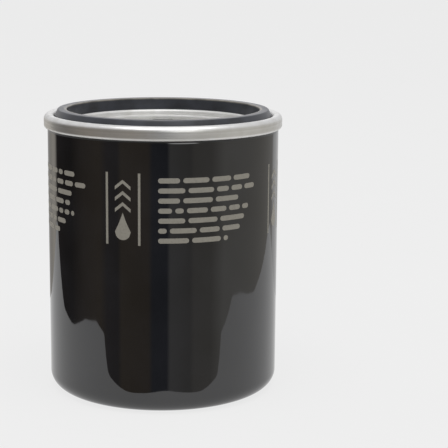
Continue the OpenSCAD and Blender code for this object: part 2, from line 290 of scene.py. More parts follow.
@dataclass(frozen=True)
class MouldedRubber(Finish):
    """Nitrile rubber, moulded and lightly oiled.

    It gives a dark charcoal with a broad soft shine, a fine mould grain and a faint grey bloom.
    Where a radius is set for it, a paler band is painted on the inner top edge: full inside that
    radius and fading out past it, and fading in above a given height. It is a painted highlight.
    """

    colour: str = "#25272c"
    bloom: str = "#3a3d45"
    smooth: float = 0.3
    rough: float = 0.42
    cloud_mm: float = 6.0
    grain_mm: float = 0.25
    grain_depth: float = 0.006
    # Painted highlight on the inner top edge: radius, width it fades over, height, rise it fades in over,
    # colour.
    highlight_radius: float = 0.0
    highlight_width: float = 0.5
    highlight_height: float = 90.0
    highlight_fade: float = 0.3
    highlight_colour: str = "#8f8a80"

    def shade(self, tree: bpy.types.NodeTree, shader: bpy.types.Node) -> None:
        """Adds the rubber's bloom, shine, mould grain and a painted highlight on the inner top edge."""
        place = object_vector(tree)
        cloud = noise(tree, place, self.cloud_mm, 5.0)
        grain = noise(tree, place, self.grain_mm, 3.0)
        colour = blend(tree, spread(tree, cloud, 0, 1), self.colour, self.bloom)
        # A paler band painted on the inner top edge: a painted highlight.
        if self.highlight_radius:
            axes = add(tree, "ShaderNodeSeparateXYZ", {0: ring_vector(tree)}).outputs
            near = spread(tree, axes["X"], 1, 0, self.highlight_radius * MM,
                          (self.highlight_radius + self.highlight_width) * MM)
            above = spread(tree, axes["Y"], 0, 1, self.highlight_height * MM,
                           (self.highlight_height + self.highlight_fade) * MM)
            highlight_mask = calc(tree, "MULTIPLY", near, above)
            highlight_mask = calc(tree, "MULTIPLY", highlight_mask, spread(tree, cloud, 0.2, 1))
            colour = blend(tree, highlight_mask, colour, self.highlight_colour)
        tree.links.new(colour, shader.inputs["Base Color"])
        tree.links.new(spread(tree, cloud, self.smooth, self.rough), shader.inputs["Roughness"])
        tree.links.new(relief(tree, grain, self.grain_depth), shader.inputs["Normal"])
        shader.inputs["IOR"].default_value = 1.52


@dataclass(frozen=True)
class PadPrintedInk(Finish):
    """Warm grey ink, rolled on to the stoved enamel by a pad.

    It gives a thin, slightly uneven film that is duller than the enamel round it.
    """

    colour: str = "#8b877d"
    thin: str = "#77736b"
    patch_mm: float = 0.7

    def shade(self, tree: bpy.types.NodeTree, shader: bpy.types.Node) -> None:
        """Adds the ink's uneven cover."""
        cover = noise(tree, object_vector(tree), self.patch_mm, 4.0)
        tree.links.new(blend(tree, spread(tree, cover, 0.3, 1, 0.25, 0.5), self.thin, self.colour),
                       shader.inputs["Base Color"])
        tree.links.new(spread(tree, cover, 0.46, 0.42), shader.inputs["Roughness"])


@dataclass(frozen=True)
class ResinPaper(Finish):
    """Cellulose filter paper, soaked in phenolic resin and cured.

    It gives a matt straw yellow with darker fibres, browned a little in patches by the oven.
    """

    colour: str = "#dcc78c"
    fibre: str = "#b3924f"
    fibre_mm: float = 0.3
    fibre_depth: float = 0.03
    baked_mm: float = 9.0

    def shade(self, tree: bpy.types.NodeTree, shader: bpy.types.Node) -> None:
        """Adds the fibres and the oven's browning; the fibres are drawn coarse enough to show."""
        threads = noise(tree, object_vector(tree, (1, 1, 0.3)), self.fibre_mm, 5.0)
        baked = noise(tree, object_vector(tree), self.baked_mm, 3.0)
        both = add(tree, "ShaderNodeMath", {0: threads, 1: baked}, operation="MULTIPLY")
        shade = spread(tree, both.outputs[0], 0, 1, 0.14, 0.36)
        tree.links.new(blend(tree, shade, self.fibre, self.colour), shader.inputs["Base Color"])
        tree.links.new(relief(tree, threads, self.fibre_depth), shader.inputs["Normal"])
        shader.inputs["Roughness"].default_value = 0.9


@dataclass(frozen=True)
class CuredPaste(Finish):
    """A paste that was poured or squeezed out and then cured, such as plastisol or lining compound.

    It gives a dull, slightly lumpy skin with small pits left by air.
    """

    colour: str = "#c3a767"
    deep: str = "#97793f"
    lump_mm: float = 3.0
    lump_depth: float = 0.08
    pit_mm: float = 1.6
    pit_depth: float = 0.04

    def shade(self, tree: bpy.types.NodeTree, shader: bpy.types.Node) -> None:
        """Adds the skin's lumps and pits."""
        place = object_vector(tree)
        lumps = noise(tree, place, self.lump_mm, 3.0)
        pits = add(tree, "ShaderNodeTexVoronoi", {"Vector": place}, {"Scale": per_mm(self.pit_mm)})
        tree.links.new(blend(tree, spread(tree, lumps, 0, 1), self.deep, self.colour),
                       shader.inputs["Base Color"])
        pit = relief(tree, spread(tree, pits.outputs["Distance"], 0, 1, 0.05, 0.2), self.pit_depth)
        tree.links.new(relief(tree, lumps, self.lump_depth, pit), shader.inputs["Normal"])
        shader.inputs["Roughness"].default_value = 0.55


@dataclass(frozen=True)
class LitOpal(Finish):
    """Opal acrylic of a light table, lit from below, so that almost no shadow shows on it."""

    colour: str = "#505050"
    mottle: str = "#4f4f4f"
    mottle_mm: float = 90.0
    glow: str = "#e5e5e5"

    def shade(self, tree: bpy.types.NodeTree, shader: bpy.types.Node) -> None:
        """Adds a trace of mottle to a plain matt grey-white, and the glow."""
        cloud = noise(tree, object_vector(tree), self.mottle_mm, 2.0)
        tree.links.new(blend(tree, spread(tree, cloud, 0, 1), self.colour, self.mottle),
                       shader.inputs["Base Color"])
        shader.inputs["Roughness"].default_value = 1.0
        shader.inputs["Specular IOR Level"].default_value = 0.0
        shader.inputs["Emission Color"].default_value = linear(self.glow)
        shader.inputs["Emission Strength"].default_value = 1.0


ENAMEL = StovedEnamel("black_stoved_enamel")
# The lid's inner zone is whitened by lower metal, as a painted reflection of bright light.
TINPLATE = RolledSteel("tinplate_rolled", colour="#e6e6e5", shadow="#d6d5d2", smooth=0.42, rough=0.5,
                       ring_depth=0.001, burnish_radius=34.5, burnish=0.06, metal=0.93, bloom=0.5)
ZINC_PLATE = RolledSteel("zinc_plated_thick_steel", colour="#d4d4d1", shadow="#b4b4b0", smooth=0.3,
                         rough=0.44, ring_mm=0.5, patch_mm=7.0)
CAP_STEEL = RolledSteel("pressed_cap_steel", colour="#b9b8b2", shadow="#8d8c87", rough=0.46)
TUBE_STEEL = RolledSteel("perforated_tube_steel", colour="#aaa9a5", shadow="#82817d", rough=0.5)
PASSIVATED = RolledSteel("yellow_passivated_steel", colour="#c9bd8e", shadow="#a2976f", rough=0.42)
SPRING_STEEL = RolledSteel("oil_tempered_spring_steel", colour="#6d6f74", shadow="#4a4c51", rough=0.42)
# The gasket gets a painted highlight on its inner top edge, out to this radius.
GASKET_RUBBER = MouldedRubber("oiled_nitrile_gasket", highlight_radius=31.4)
VALVE_RUBBER = MouldedRubber("matt_nitrile_valve", colour="#17171a", bloom="#2a2a2d", rough=0.6)
INK = PadPrintedInk("warm_grey_pad_ink")
PAPER = ResinPaper("resin_filter_paper")
PLASTISOL = CuredPaste("cured_plastisol")
COMPOUND = CuredPaste("seam_lining_compound", colour="#7b8077", deep="#585c55")
OPAL = LitOpal("lit_opal_acrylic")


# ---------------------------------------------------------------------------
# Outlines of bent sheet
# ---------------------------------------------------------------------------


def arc(centre: Point, radius: float, start: float, turn: float, step: float = 7.5) -> list[Point]:
    """Points of an arc.

    Args:
        centre: The arc's centre.
        radius: Its radius.
        start: Angle of its first point, in degrees.
        turn: Angle it turns through, in degrees, positive to the left.
        step: Largest angle between two points, in degrees.

    Returns:
        The points, from first to last.
    """
    count = max(1, math.ceil(abs(turn) / step))
    angles = (math.radians(start + turn * i / count) for i in range(count + 1))
    return [(centre[0] + radius * math.cos(a), centre[1] + radius * math.sin(a)) for a in angles]


def bend(before: Corner, corner: Corner, after: Corner) -> list[Point]:
    """The points of one corner, rounded by the radius that is its third number."""
    here = Vector(corner[:2])
    radius = corner[2]
    if radius == 0:
        return [tuple(here)]
    back = (Vector(before[:2]) - here).normalized()
    ahead = (Vector(after[:2]) - here).normalized()
    half = back.angle(ahead) / 2
    centre = here + (back + ahead).normalized() * radius / math.sin(half)
    first = here + back * radius / math.tan(half) - centre
    last = here + ahead * radius / math.tan(half) - centre
    start = math.degrees(math.atan2(first.y, first.x))
    turn = math.degrees(math.atan2(last.y, last.x)) - start
    turn = (turn + 180) % 360 - 180
    return arc(tuple(centre), radius, start, turn)


def bent_line(corners: Sequence[Corner]) -> list[Point]:
    """An open line through corners (x, y, bend radius)."""
    inner = [p for a, b, c in zip(corners, corners[1:], corners[2:]) for p in bend(a, b, c)]
    return [corners[0][:2], *inner, corners[-1][:2]]


def bent_loop(corners: Sequence[Corner]) -> list[Point]:
    """A closed outline through corners (x, y, bend radius)."""
    count = len(corners)
    return [p for i in range(count)
            for p in bend(corners[i - 1], corners[i], corners[(i + 1) % count])]


def beside(line: Sequence[Point], shift: float) -> list[Point]:
    """A line moved sideways to its left by shift, mitred at its points."""
    moved = []
    last = len(line) - 1
    for i, point in enumerate(line):
        into = Vector(line[max(i, 1)]) - Vector(line[max(i - 1, 0)])
        out = Vector(line[min(i + 1, last)]) - Vector(line[min(i, last - 1)])
        m = Vector((-into.y, into.x)).normalized()
        k = Vector((-out.y, out.x)).normalized()
        moved.append(tuple(Vector(point) + shift * (m + k) / (1 + m.dot(k))))
    return moved


def sheet(line: Sequence[Point], thickness: float) -> list[Point]:
    """Outline of a sheet whose middle follows a line."""
    return beside(line, thickness / 2) + beside(line, -thickness / 2)[::-1]


# ---------------------------------------------------------------------------
# Mesh making
# ---------------------------------------------------------------------------


def mesh_object(name: str, vertices: Sequence, edges: Sequence = (), faces: Sequence = ()) -> Any:
    """A new object at the origin, with a mesh of these vertices, edges and faces, in metres."""
    mesh = bpy.data.meshes.new(name)
    mesh.from_pydata([tuple(v) for v in vertices], edges, faces)
    made = bpy.data.objects.new(name, mesh)
    bpy.context.scene.collection.objects.link(made)
    return made


def bake(source: Any, name: str) -> Any:
    """Turns an object and its modifiers into a plain mesh object.

    Args:
        source: The object with live modifiers, which is removed.
        name: Name of the new object.

    Returns:
        The new object, at the origin.
    """
    depsgraph = bpy.context.evaluated_depsgraph_get()
    mesh = bpy.data.meshes.new_from_object(source.evaluated_get(depsgraph))
    mesh.name = name
    bpy.data.objects.remove(source, do_unlink=True)
    made = bpy.data.objects.new(name, mesh)
    bpy.context.scene.collection.objects.link(made)
    return made


def polish(piece: Any, crease: float = 32.0) -> Any:
    """Merges doubles, closes open ends, points the faces outwards and sharpens real edges.

    Args:
        piece: The mesh object to clean.
        crease: Angle between faces, in degrees, past which their edge is sharp.

    Returns:
        The same object.
    """
    shape = bmesh.new()
    shape.from_mesh(piece.data)
    bmesh.ops.remove_doubles(shape, verts=shape.verts, dist=1e-7)
    bmesh.ops.dissolve_degenerate(shape, edges=shape.edges, dist=1e-8)
    ends = [e for e in shape.edges if e.is_boundary]
    if ends:
        bmesh.ops.holes_fill(shape, edges=ends, sides=0)
    bmesh.ops.recalc_face_normals(shape, faces=shape.faces)
    for face in shape.faces:
        face.smooth = True
    for edge in shape.edges:
        edge.smooth = len(edge.link_faces) == 2 and edge.calc_face_angle(0) < math.radians(crease)
    shape.to_mesh(piece.data)
    shape.free()
    return piece


def new_tree(name: str, inputs: Sequence[tuple[str, str]]) -> tuple[Any, Any, Any]:
    """Starts a Geometry Nodes tree.

    Args:
        name: Name of the tree.
        inputs: Name and socket type of each input after the geometry.

    Returns:
        The tree, its group input node and its group output node.
    """
    tree = bpy.data.node_groups.new(name, "GeometryNodeTree")
    tree.interface.new_socket("Geometry", in_out="INPUT", socket_type="NodeSocketGeometry")
    for label, kind in inputs:
        tree.interface.new_socket(label, in_out="INPUT", socket_type=kind)
    tree.interface.new_socket("Geometry", in_out="OUTPUT", socket_type="NodeSocketGeometry")
    return tree, add(tree, "NodeGroupInput"), add(tree, "NodeGroupOutput")


def close_tree(tree: Any, entry: Any, leave: Any, geometry: Any) -> None:
    """Ends a tree in Realize Instances and Set Material, from its input named Material."""
    real = add(tree, "GeometryNodeRealizeInstances", {0: geometry})
    done = add(tree, "GeometryNodeSetMaterial",
               {"Geometry": real.outputs[0], "Material": entry.outputs["Material"]})
    tree.links.new(done.outputs[0], leave.inputs[0])


def grow(source: Any, tree: Any, name: str, inputs: dict[str, Any]) -> Any:
    """Runs a Geometry Nodes tree on an object and bakes the result.

    Args:
        source: The object that the tree starts from, which is removed.
        tree: The tree.
        name: Name of the result.
        inputs: Input name to value.

    Returns:
        The baked object.
    """
    modifier = source.modifiers.new(name, "NODES")
    modifier.node_group = tree
    sockets = {s.name: s.identifier for s in tree.interface.items_tree if s.in_out == "INPUT"}
    for label, value in inputs.items():
        modifier[sockets[label]] = value
    return bake(source, name)


def calc(tree: Any, operation: str, *operands: Any) -> Any:
    """One Math node on sockets and constants, as an output socket."""
    links = {i: v for i, v in enumerate(operands) if isinstance(v, bpy.types.NodeSocket)}
    values = {i: v for i, v in enumerate(operands) if i not in links}
    return add(tree, "ShaderNodeMath", links, values, operation=operation).outputs[0]


def lathe_tree() -> Any:
    """The tree that sweeps a profile round the axis.

    The input mesh is the profile, with X as radius and Z as height. A full turn with no rise gives a
    lathe-turned piece. A rise gives a thread or a coil, and Flat share is the part of the sweep at
    each end where the coil climbs only by Flat rise, as a spring's closed ends do.

    Returns:
        The tree.
    """
    found = bpy.data.node_groups.get("lathe")
    if found:
        return found
    tree, entry, leave = new_tree("lathe", [
        ("Points", "NodeSocketInt"), ("Steps", "NodeSocketInt"), ("Turns", "NodeSocketFloat"),
        ("Rise", "NodeSocketFloat"), ("Flat share", "NodeSocketFloat"),
        ("Flat rise", "NodeSocketFloat"), ("Material", "NodeSocketMaterial")])
    ins = entry.outputs
    rows = calc(tree, "ADD", ins["Steps"], 1.0)
    grid = add(tree, "GeometryNodeMeshGrid", {"Vertices X": ins["Points"], "Vertices Y": rows},
               {"Size X": 1.0, "Size Y": 1.0})
    place = add(tree, "ShaderNodeSeparateXYZ", {0: add(tree, "GeometryNodeInputPosition").outputs[0]})
    along = calc(tree, "ADD", place.outputs["X"], 0.5)
    share = calc(tree, "ADD", place.outputs["Y"], 0.5)
    last = calc(tree, "SUBTRACT", ins["Points"], 1.0)
    index = calc(tree, "ROUND", calc(tree, "MULTIPLY", along, last))
    sample = add(tree, "GeometryNodeSampleIndex", {
        "Geometry": ins["Geometry"], "Index": index,
        "Value": add(tree, "GeometryNodeInputPosition").outputs[0]}, data_type="FLOAT_VECTOR")
    point = add(tree, "ShaderNodeSeparateXYZ", {0: sample.outputs["Value"]})
    angle = calc(tree, "MULTIPLY", calc(tree, "MULTIPLY", share, ins["Turns"]), math.tau)
    free = calc(tree, "SUBTRACT", share, ins["Flat share"])
    span = calc(tree, "SUBTRACT", 1.0, calc(tree, "MULTIPLY", ins["Flat share"], 2.0))
    climb = calc(tree, "MINIMUM", calc(tree, "MAXIMUM", calc(tree, "DIVIDE", free, span), 0.0), 1.0)
    steep = calc(tree, "SUBTRACT", ins["Rise"], ins["Flat rise"])
    lift = calc(tree, "ADD", calc(tree, "MULTIPLY", climb, steep),
                calc(tree, "MULTIPLY", share, ins["Flat rise"]))
    spot = add(tree, "ShaderNodeCombineXYZ", {
        "X": calc(tree, "MULTIPLY", point.outputs["X"], calc(tree, "COSINE", angle)),
        "Y": calc(tree, "MULTIPLY", point.outputs["X"], calc(tree, "SINE", angle)),
        "Z": calc(tree, "ADD", point.outputs["Z"], lift)})
    moved = add(tree, "GeometryNodeSetPosition",
                {"Geometry": grid.outputs["Mesh"], "Position": spot.outputs[0]})
    merged = add(tree, "GeometryNodeMergeByDistance", {"Geometry": moved.outputs[0]}, {"Distance": 1e-7})
    close_tree(tree, entry, leave, merged.outputs[0])
    return tree


def lathe(name: str, outline: Sequence[Point], finish: Finish, closed: bool = True, steps: int = 256,
          turns: float = 1.0, rise: float = 0.0, flat_share: float = 0.0, flat_rise: float = 0.0) -> Any:
    """Sweeps an outline round the axis.

    Args:
        name: Name of the piece.
        outline: Points (radius, height), in millimetres.
        finish: The piece's finish.
        closed: Whether the outline's last point joins its first.
        steps: Number of steps in the sweep.
        turns: Number of turns.
        rise: Height gained over the sweep, in millimetres.
        flat_share: Share of the sweep at each end that climbs slowly.
        flat_rise: Height that the slow climb would gain over the whole sweep, in millimetres.

    Returns:
        The finished mesh object.
    """
    points = [*outline, outline[0]] if closed else list(outline)
    source = mesh_object(name + "_profile", [(x * MM, 0, z * MM) for x, z in points])
    piece = grow(source, lathe_tree(), name, {
        "Points": len(points), "Steps": steps, "Turns": float(turns), "Rise": rise * MM,
        "Flat share": float(flat_share), "Flat rise": flat_rise * MM, "Material": finish.material()})
    return polish(piece)


def repeat_tree() -> Any:
    """The tree that repeats its input mesh at even angles round the axis, each copy turned to face it.

    Returns:
        The tree.
    """
    found = bpy.data.node_groups.get("repeat_round_axis")
    if found:
        return found
    tree, entry, leave = new_tree("repeat_round_axis", [
        ("Count", "NodeSocketInt"), ("First angle", "NodeSocketFloat"), ("Material", "NodeSocketMaterial")])
    ins = entry.outputs
    points = add(tree, "GeometryNodePoints", {"Count": ins["Count"]})
    step = calc(tree, "DIVIDE", math.tau, ins["Count"])
    order = add(tree, "GeometryNodeInputIndex").outputs[0]
    angle = calc(tree, "ADD", calc(tree, "MULTIPLY", order, step), ins["First angle"])
    turn = add(tree, "ShaderNodeCombineXYZ", {"Z": angle})
    copies = add(tree, "GeometryNodeInstanceOnPoints", {
        "Points": points.outputs[0], "Instance": ins["Geometry"], "Rotation": turn.outputs[0]})
    close_tree(tree, entry, leave, copies.outputs[0])
    return tree


def repeat(source: Any, name: str, count: int, finish: Finish, first: float = 0.0) -> Any:
    """Repeats an object round the axis and bakes the copies as one piece; first is in degrees."""
    return grow(source, repeat_tree(), name, {
        "Count": count, "First angle": math.radians(first), "Material": finish.material()})


def thicken(piece: Any, thickness: float) -> Any:
    """Gives a thin skin a thickness in millimetres, outwards from its faces, and bakes it."""
    shell = piece.modifiers.new("thickness", "SOLIDIFY")
    shell.thickness = thickness * MM
    shell.offset = 1.0
    return bake(piece, piece.name)


def settle(piece: Any, body: Body, material_slot: str = "", *nodes: str) -> Any:
    """Makes a finished piece ride on a body and stand for CAD nodes.

    Args:
        piece: The piece.
        body: The CAD body that carries it.
        material_slot: The record's slot for its finish; it is not used.
        nodes: The CAD nodes that it replaces.

    Returns:
        The same piece.
    """
    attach(piece, body.value)
    if nodes:
        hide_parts(*nodes)
    LOG.info("%s: %d faces", piece.name, len(piece.data.polygons))
    return piece


def dress_node(frame: dict, node: str, finish: Finish) -> None:
    """Gives a CAD node that stays in view its finish."""
    data = frame["nodes"][node].data
    data.materials.clear()
    data.materials.append(finish.material())
    LOG.info("%s: CAD node dressed in %s", node, finish.name)


# ---------------------------------------------------------------------------
# Sizes that several sub-assemblies share
# ---------------------------------------------------------------------------


WEB_SEAT = 0.7  # height of the base plate's underside over the top of the diaphragm's web


@dataclass(frozen=True)
class Gauge:
    """Sizes read from the frame, in millimetres."""

    can_radius: float
    thread_radius: float
    seam_radius: float
    seam_top: float
    lid_under: float
    plate_under: float
    plate_radius: float
    collar_bottom: float
    gasket_radius: float
    gasket_top: float

    @classmethod
    def read(cls, frame: dict) -> "Gauge":
        """Reads the sizes from the record's mounts and the CAD nodes' boxes."""
        mounts = {m["name"]: m for m in frame["record"]["mounts"]}
        lid_low, lid_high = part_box("seaming_lid")
        plate_low, plate_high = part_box("base_plate")
        gasket_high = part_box("sealing_gasket")[1]
        web_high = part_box("drainback_valve")[1]
        return cls(
            can_radius=mounts["can_body"]["dims"]["r_mm"],
            thread_radius=mounts["thread"]["dims"]["r_mm"],
            seam_radius=lid_high[0] / MM,
            seam_top=lid_high[2] / MM,
            lid_under=plate_high[2] / MM,
            plate_under=web_high[2] / MM + WEB_SEAT,
            plate_radius=plate_high[0] / MM,
            collar_bottom=plate_low[2] / MM,
            gasket_radius=gasket_high[0] / MM,
            gasket_top=gasket_high[2] / MM,
        )


@dataclass
class Seam:
    """The double seam's layers: radii of the middles of its five sheets, and its bends."""

    gauge: Gauge
    lid_sheet: float = 0.7
    can_sheet: float = 0.45
    gap: float = 0.1
    height: float = 4.49

    def __post_init__(self) -> None:
        """Works the layers out from the seam's outside in."""
        self.panel = self.gauge.seam_radius - self.lid_sheet / 2
        both = (self.lid_sheet + self.can_sheet) / 2 + self.gap
        self.body_hook = self.panel - both
        self.cover_hook = self.body_hook - both
        self.neck = self.cover_hook - both
        self.chuck = self.neck - both
        self.roll = (self.panel - self.chuck) / 2
        self.hook = (self.panel - self.cover_hook) / 2
        self.flange = (self.body_hook - self.neck) / 2
        self.roll_z = self.gauge.seam_top - self.lid_sheet / 2 - self.roll
        self.curl_z = self.gauge.seam_top - self.height + self.lid_sheet / 2 + self.hook
        self.curl = self.panel - self.hook


# ---------------------------------------------------------------------------
# Sub-assemblies
# ---------------------------------------------------------------------------


@dataclass
class Can:
    """The deep-drawn can, with its pressed end panel, neck and body hook."""

    gauge: Gauge
    seam: Seam
    end_bend: float = 5.0
    panel_height: float = 0.8
    panel_radius: float = 20.0
    foot_radius: float = 22.0
    step_bend: float = 1.5
    neck_bend: float = 1.1
    straight: float = 1.0

    def outline(self) -> list[Point]:
        """The can's outline from the axis inside, over the mouth and back to the axis outside."""
        seam, sheet_t = self.seam, self.seam.can_sheet
        wall = self.gauge.can_radius - sheet_t / 2
        inner = seam.hook + seam.lid_sheet / 2 + seam.gap + sheet_t / 2
        across = seam.curl - wall + self.neck_bend
        down = math.sqrt((inner + self.neck_bend) ** 2 - across ** 2)
        turn = math.degrees(math.atan2(down, across))
        neck_z = seam.curl_z - down
        low, high = sheet_t / 2, sheet_t / 2 + self.panel_height
        line = bent_line([(0, high, 0), (self.panel_radius, high, self.step_bend),
                          (self.foot_radius, low, self.step_bend),
                          (wall, low, self.end_bend - sheet_t / 2),
                          (wall, self.end_bend + self.straight, 0), (wall, neck_z - self.straight, 0)])
        line += arc((wall - self.neck_bend, neck_z), self.neck_bend, 0, turn)
        line += arc((seam.curl, seam.curl_z), inner, 180 + turn, -turn)
        line += arc((seam.neck + seam.flange, seam.roll_z), seam.flange, 180, -180)
        line.append((seam.body_hook, seam.curl_z + seam.gap))
        return sheet(line, sheet_t)

    def build(self) -> None:
        """Makes the can's shell."""
        shell = lathe("can_shell", self.outline(), ENAMEL, closed=False, steps=288)
        settle(shell, Body.HOUSING, "gloss_black_paint", "housing_can")


@dataclass
class CanPrint:
    """Plain marks in pad-printed ink: four bands of bars and signs, with rows of dashes between."""

    gauge: Gauge
    sectors: int = 4
    first_bar: float = -27.7
    second_bar: float = -11.7
    text_start: float = -2.9
    low: float = 53.0
    high: float = 75.0
    bar_width: float = 0.75
    row_height: float = 1.55
    row_pitch: float = 3.05
    row_lengths: tuple[float, ...] = (32.0, 33.0, 28.2, 32.2, 28.6, 27.4, 22.3)
    first_row: float = 2.1
    dash_lengths: tuple[float, ...] = (2.6, 4.2, 5.4, 6.6, 8.2, 9.4)
    dash_gap: float = 0.95
    shortest_dash: float = 1.5
    sign_size: float = 5.0
    drop_below: float = 7.0
    chevrons: int = 3
    chevron_above: float = 1.0
    chevron_pitch: float = 3.4
    chevron_slope: float = 0.8
    chevron_stroke: float = 1.1
    film: float = 0.03
    seed: int = 11

    def strip(self, columns: Sequence[tuple[float, float, float]], vertices: list, faces: list) -> None:
        """Adds a flat strip through columns (position along the can's girth, low, high)."""
        base = len(vertices)
        for u, low, high in columns:
            vertices += [(u, 0, low), (u, 0, high)]
        faces += [(base + 2 * i, base + 2 * i + 2, base + 2 * i + 3, base + 2 * i + 1)
                  for i in range(len(columns) - 1)]

    def dash(self, start: float, end: float, middle: float, height: float) -> list[tuple]:
        """Columns of a dash with rounded ends."""
        r = height / 2
        count = max(2, round((end - start - 2 * r) / 0.9))
        left = [(start + r - r * math.cos(a), r * math.sin(a)) for a in (0.2, 0.6, 1.0)]
        right = [(end - r + r * math.cos(a), r * math.sin(a)) for a in (1.0, 0.6, 0.2)]
        flat = [(start + r + (end - start - 2 * r) * i / count, r) for i in range(count + 1)]
        return [(u, middle - h, middle + h) for u, h in left + flat + right]

    def drop(self, centre: float, middle: float, size: float) -> list[tuple]:
        """Columns of an oil drop, round below and pointed above."""
        r = size / 2
        columns = []
        for i in range(13):
            x = -r + size * i / 12 * 0.999 + 0.0005 * size
            chord = math.sqrt(r * r - x * x)
            tip = max(1.9 * r * (1 - abs(x) / r) ** 1.5, 0.02)
            columns.append((centre + x, middle - chord, middle + tip + 0.45 * chord))
        return columns

    def chevron(self, centre: float, middle: float, size: float) -> list[tuple]:
        """Columns of a chevron that points up."""
        columns = []
        for k in range(-6, 7):
            across = size / 2 * k / 6
            low = middle - abs(across) * self.chevron_slope
            columns.append((centre + across, low, low + self.chevron_stroke))
        return columns

    def words(self, start: float, length: float, draw: random.Random) -> list[tuple[float, float]]:
        """Starts and ends of the dashes in one row."""
        spans = []
        at = start
        while at < start + length - self.shortest_dash:
            end = min(at + draw.choice(self.dash_lengths), start + length)
            spans.append((at, end))
            at = end + self.dash_gap
        return spans

    def build(self) -> None:
        """Draws the flat marks, wraps them round the can and gives them the ink film's thickness."""
        draw = random.Random(self.seed)
        vertices: list = []
        faces: list = []
        girth = math.radians(1) * self.gauge.can_radius
        middle = (self.low + self.high) / 2
        for sector in range(self.sectors):
            turn = sector * 360 / self.sectors
            for bar in (self.first_bar, self.second_bar):
                u = (bar + turn) * girth
                self.strip([(u - self.bar_width / 2, self.low, self.high),
                            (u + self.bar_width / 2, self.low, self.high)], vertices, faces)
            centre = ((self.first_bar + self.second_bar) / 2 + turn) * girth
            self.strip(self.drop(centre, middle - self.drop_below, self.sign_size), vertices, faces)
            for k in range(self.chevrons):
                z = middle + self.chevron_above + self.chevron_pitch * k
                self.strip(self.chevron(centre, z, self.sign_size), vertices, faces)
            for row, length in enumerate(self.row_lengths):
                z = self.high - self.first_row - row * self.row_pitch
                size = length if sector == 0 else length * draw.uniform(0.84, 1.06)
                for start, end in self.words((self.text_start + turn) * girth, size, draw):
                    self.strip(self.dash(start, end, z, self.row_height), vertices, faces)
        flat = mesh_object("flat_marks", [(u * MM, 0, z * MM) for u, _, z in vertices], faces=faces)
        radius = (self.gauge.can_radius - self.film / 3) * MM
        marks = grow(flat, wrap_tree(), "printed_marks", {"Radius": radius, "Material": INK.material()})
        settle(polish_skin(marks, self.film * 1.3), Body.HOUSING)


def wrap_tree() -> Any:
    """The tree that wraps a flat drawing in the XZ plane round a cylinder on the axis.

    Distance along X becomes distance round the cylinder, starting at the side that faces -Y.

    Returns:
        The tree.
    """
    tree, entry, leave = new_tree("wrap_round_can", [
        ("Radius", "NodeSocketFloat"), ("Material", "NodeSocketMaterial")])
    radius = entry.outputs["Radius"]
    place = add(tree, "ShaderNodeSeparateXYZ", {0: add(tree, "GeometryNodeInputPosition").outputs[0]})
    angle = calc(tree, "DIVIDE", place.outputs["X"], radius)
    spot = add(tree, "ShaderNodeCombineXYZ", {
        "X": calc(tree, "MULTIPLY", radius, calc(tree, "SINE", angle)),
        "Y": calc(tree, "MULTIPLY", radius, calc(tree, "MULTIPLY", calc(tree, "COSINE", angle), -1.0)),
        "Z": place.outputs["Z"]})
    moved = add(tree, "GeometryNodeSetPosition",
                {"Geometry": entry.outputs["Geometry"], "Position": spot.outputs[0]})
    close_tree(tree, entry, leave, moved.outputs[0])
    return tree


def polish_skin(skin: Any, thickness: float) -> Any:
    """Points an open skin's faces away from the axis, thickens it outwards and smooths it."""
    shape = bmesh.new()
    shape.from_mesh(skin.data)
    shape.normal_update()
    for face in shape.faces:
        out = face.calc_center_median()
        if face.normal.x * out.x + face.normal.y * out.y < 0:
            face.normal_flip()
    shape.to_mesh(skin.data)
    shape.free()
    return polish(thicken(skin, thickness), crease=50.0)


@dataclass
class SeamingLid:
    """The pressed lid: inner rim, rib, gasket channel, chuck wall, rolled seam and cover hook."""

    gauge: Gauge
    seam: Seam
    hole_radius: float = 25.0
    rib_radius: float = 29.9
    rib_half: float = 0.5
    rib_height: float = 1.9
    welds: int = 12
    weld_radius: float = 1.15
    weld_inset: float = 0.3
    first_weld: float = 15.0

    @property
    def floor(self) -> float:
        """Height of the channel's floor."""
        return self.gauge.lid_under + self.seam.lid_sheet

    def outline(self) -> list[Point]:
        """Outline of the lid's sheet."""
        seam, half = self.seam, self.rib_half
        mid = self.gauge.lid_under + seam.lid_sheet / 2
        top = self.floor + self.rib_height - seam.lid_sheet / 2
        line = bent_line([
            (self.hole_radius, mid, 0), (self.rib_radius - half, mid, half),
            (self.rib_radius - half, top, half * 0.99), (self.rib_radius + half, top, half * 0.99),
            (self.rib_radius + half, mid, half), (seam.chuck, mid, 0.6),
            (seam.chuck, seam.roll_z - 0.1, 0)])
        line += arc((seam.chuck + seam.roll, seam.roll_z), seam.roll, 180, -180)
        line += arc((seam.curl, seam.curl_z), seam.hook, 0, -180)
        line.append((seam.cover_hook, seam.roll_z - seam.gap))
        return sheet(line, seam.lid_sheet)

    def weld(self) -> Any:
        """One projection weld: a shallow crater with a raised ring, on the lid's inner rim."""
        r, top = self.weld_radius, self.floor
        rings = ((0.0, -0.02), (r * 0.45, 0.0), (r * 0.7, 0.09), (r * 0.88, 0.1), (r, 0.03), (r, -0.1))
        around = 24
        centre = (self.hole_radius + self.rib_radius - self.rib_half) / 2 - self.weld_inset
        vertices = [((centre + q * math.cos(math.tau * k / around)) * MM,
                     q * math.sin(math.tau * k / around) * MM, (top + 0.02 + h) * MM)
                    for q, h in rings for k in range(around)]
        faces = [(i * around + k, i * around + (k + 1) % around,
                  (i + 1) * around + (k + 1) % around, (i + 1) * around + k)
                 for i in range(len(rings) - 1) for k in range(around)]
        return mesh_object("one_weld", vertices, faces=faces)

    def build(self) -> None:
        """Makes the lid and its ring of welds."""
        lid = lathe("lid_ring", self.outline(), TINPLATE, steps=256)
        settle(lid, Body.HOUSING, "tinned_steel", "seaming_lid")
        welds = polish(repeat(self.weld(), "lid_welds", self.welds, TINPLATE, self.first_weld))
        settle(welds, Body.HOUSING, "tinned_steel")


